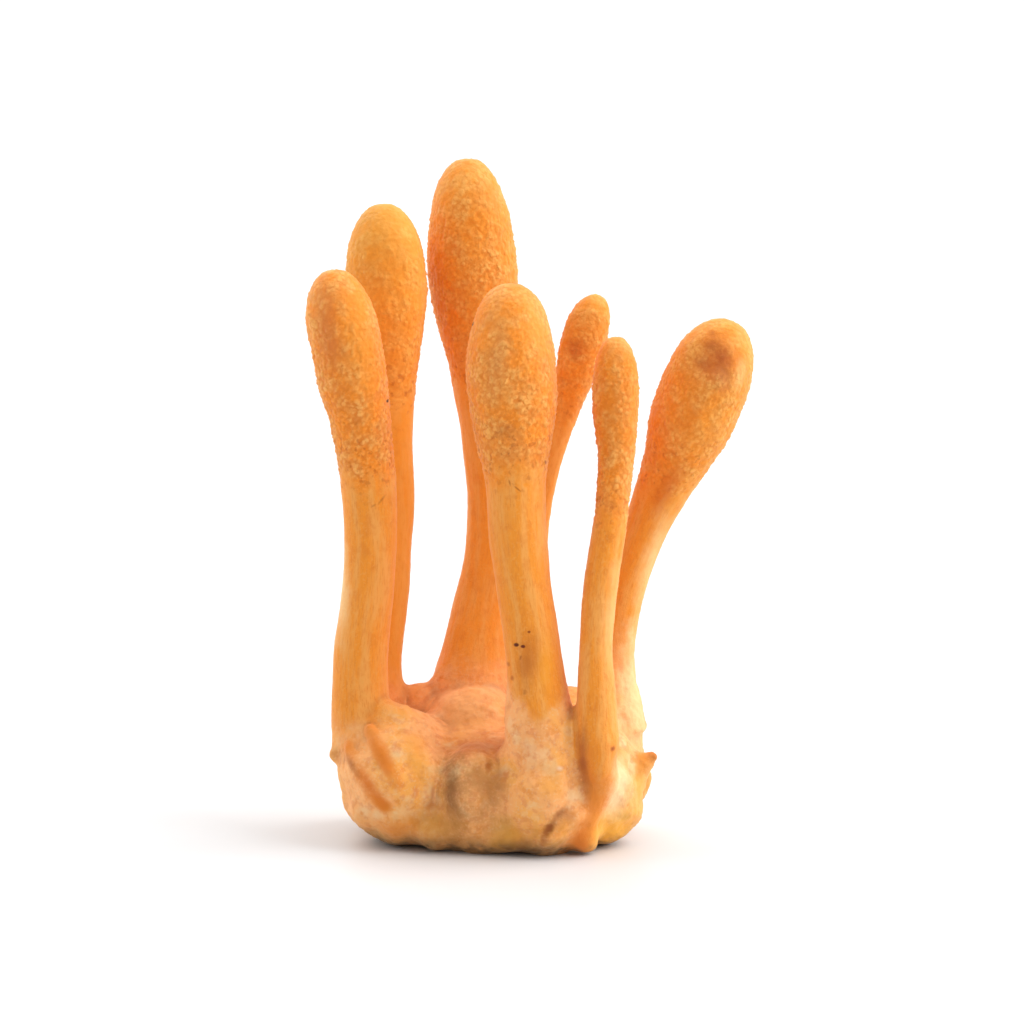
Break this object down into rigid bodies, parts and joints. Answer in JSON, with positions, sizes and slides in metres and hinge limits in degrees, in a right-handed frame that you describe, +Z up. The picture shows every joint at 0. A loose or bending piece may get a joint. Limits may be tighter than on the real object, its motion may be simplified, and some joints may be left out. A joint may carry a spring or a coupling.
{
  "type": "cordyceps mushroom",
  "caption": "Cluster of slender orange cordyceps clubs with pebbled heads, grown from one lumpy mycelium base that is cut flat beneath so that it stands.",
  "frame": {"origin": "middle of the flat cut underside of the base, on the surface that the cluster stands on", "axes": "+Z up, +X to the right and +Y away from the viewer of the picture; the club with the bruised head leans towards +X"},
  "size_m": [0.0373, 0.0254, 0.0566],
  "materials": {
    "fruiting_body": "matt orange flesh: pebbled fertile head, finely fibrous stalk",
    "mycelium": "matt, mealy peach and yellow mycelium with orange ridges"
  },
  "bodies": {
    "root": {"base": "mycelium", "club_left": "fruiting_body", "club_back_left": "fruiting_body", "club_tallest": "fruiting_body", "club_front": "fruiting_body", "club_back_right": "fruiting_body", "club_slim": "fruiting_body", "club_leaning": "fruiting_body"}
  },
  "joints": []
}
